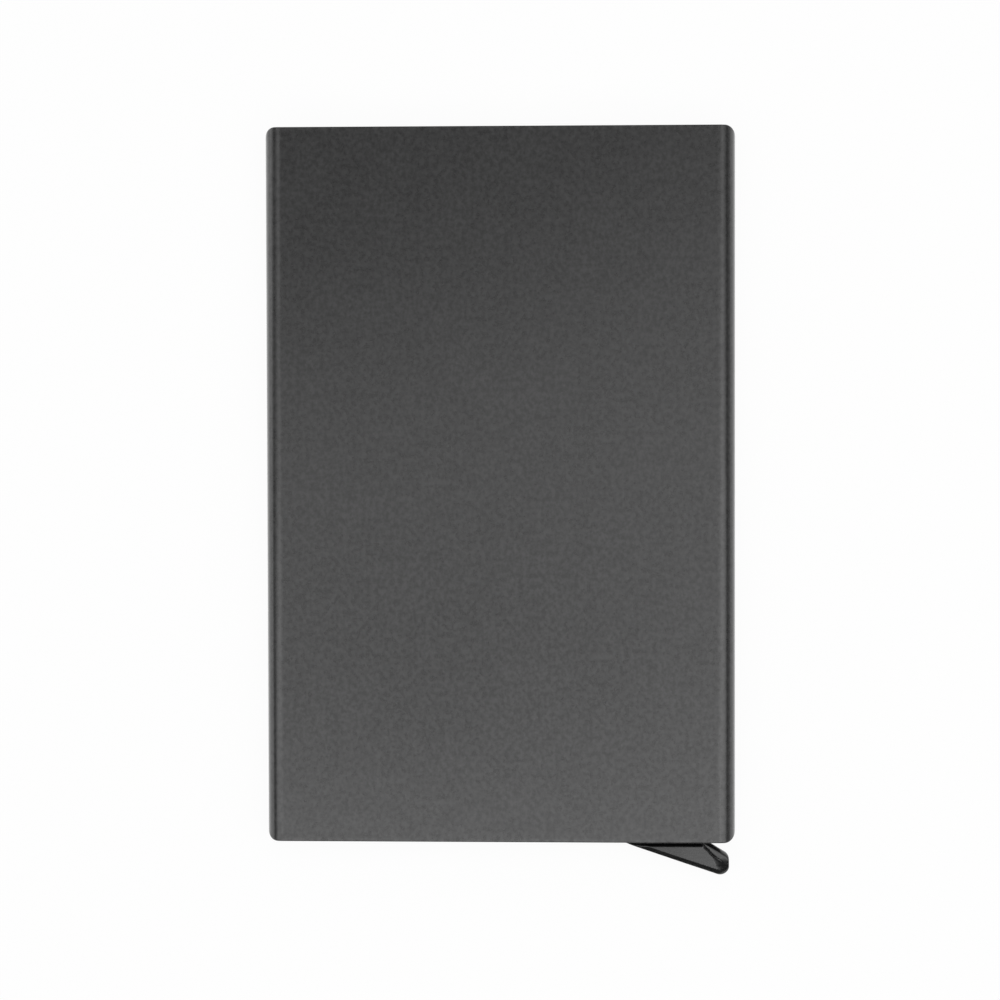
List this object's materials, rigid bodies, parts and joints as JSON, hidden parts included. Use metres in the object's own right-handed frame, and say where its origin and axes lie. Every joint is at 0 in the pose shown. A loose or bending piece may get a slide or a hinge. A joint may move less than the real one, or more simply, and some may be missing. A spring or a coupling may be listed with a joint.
{
  "type": "rfid card holder",
  "caption": "Slim rigid aluminium sleeve for bank cards that shields their chips, with a black plastic thumb lever at one base corner that pushes the cards up in a stepped fan.",
  "frame": {"origin": "centre of the flat back face", "axes": "+X to the right as seen from the front, +Y along the sleeve towards the mouth that the cards leave by, +Z out of the front face"},
  "size_m": [0.063, 0.1006, 0.008],
  "materials": {
    "case_shell": "bead-blasted and anodised dark grey",
    "base_tray": "moulded black, fine texture",
    "tray_cover": "moulded black, fine texture",
    "cover_screws": "plain steel",
    "pivot_pin": "ground steel",
    "pivot_washers": "natural white slip plastic",
    "ejector_lever": "moulded black, semi-gloss",
    "lever_bumper": "soft black",
    "guide_rails": "moulded black, fine texture",
    "brake_springs": "rolled spring steel",
    "felt_strips": "short black felt"
  },
  "bodies": {
    "holder": {"case_shell": "case_shell", "base_tray": "base_tray", "tray_cover": "tray_cover", "cover_screw_1": "cover_screws", "cover_screw_2": "cover_screws", "cover_screw_3": "cover_screws", "cover_screw_4": "cover_screws", "pivot_pin": "pivot_pin", "pivot_washer_rear": "pivot_washers", "pivot_washer_front": "pivot_washers", "lever_bumper": "lever_bumper", "guide_rail_left": "guide_rails", "guide_rail_right": "guide_rails", "brake_spring_left": "brake_springs", "brake_spring_right": "brake_springs", "felt_strip_rear_left": "felt_strips", "felt_strip_rear_right": "felt_strips", "felt_strip_front_left": "felt_strips", "felt_strip_front_right": "felt_strips"},
    "lever": {"ejector_lever": "ejector_lever"}
  },
  "joints": [
    {"name": "lever_pivot", "type": "hinge", "parent": "holder", "child": "lever", "pos_m": [0.0281, -0.0432, 0.004], "axis": [0, 0, -1], "range_deg": [0, 25]}
  ]
}
